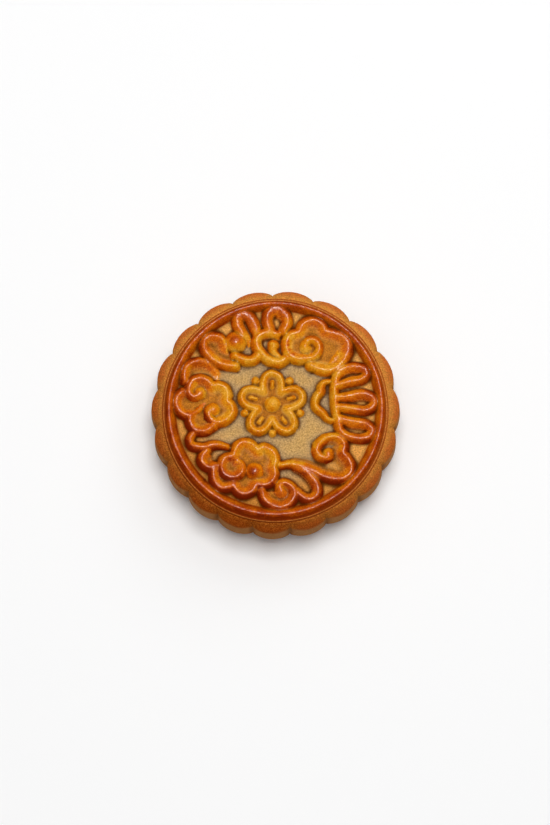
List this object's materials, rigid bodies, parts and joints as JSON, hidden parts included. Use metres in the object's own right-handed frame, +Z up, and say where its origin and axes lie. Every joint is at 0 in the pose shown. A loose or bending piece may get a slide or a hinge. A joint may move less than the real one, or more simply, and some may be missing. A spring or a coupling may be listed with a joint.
{
  "type": "mooncake",
  "caption": "Round baked mooncake with a scalloped edge, a raised rim and a moulded rope-like flower relief on its glazed brown top.",
  "frame": {"origin": "middle of the flat underside", "axes": "+Z up out of the moulded top, +X to the right and +Y to the back as the top is read"},
  "size_m": [0.082, 0.0806, 0.03],
  "materials": {
    "baked_crust": "egg-glazed baked crust, satin on the crests and matte on the sides"
  },
  "bodies": {
    "root": {"mooncake": "baked_crust"}
  },
  "joints": []
}
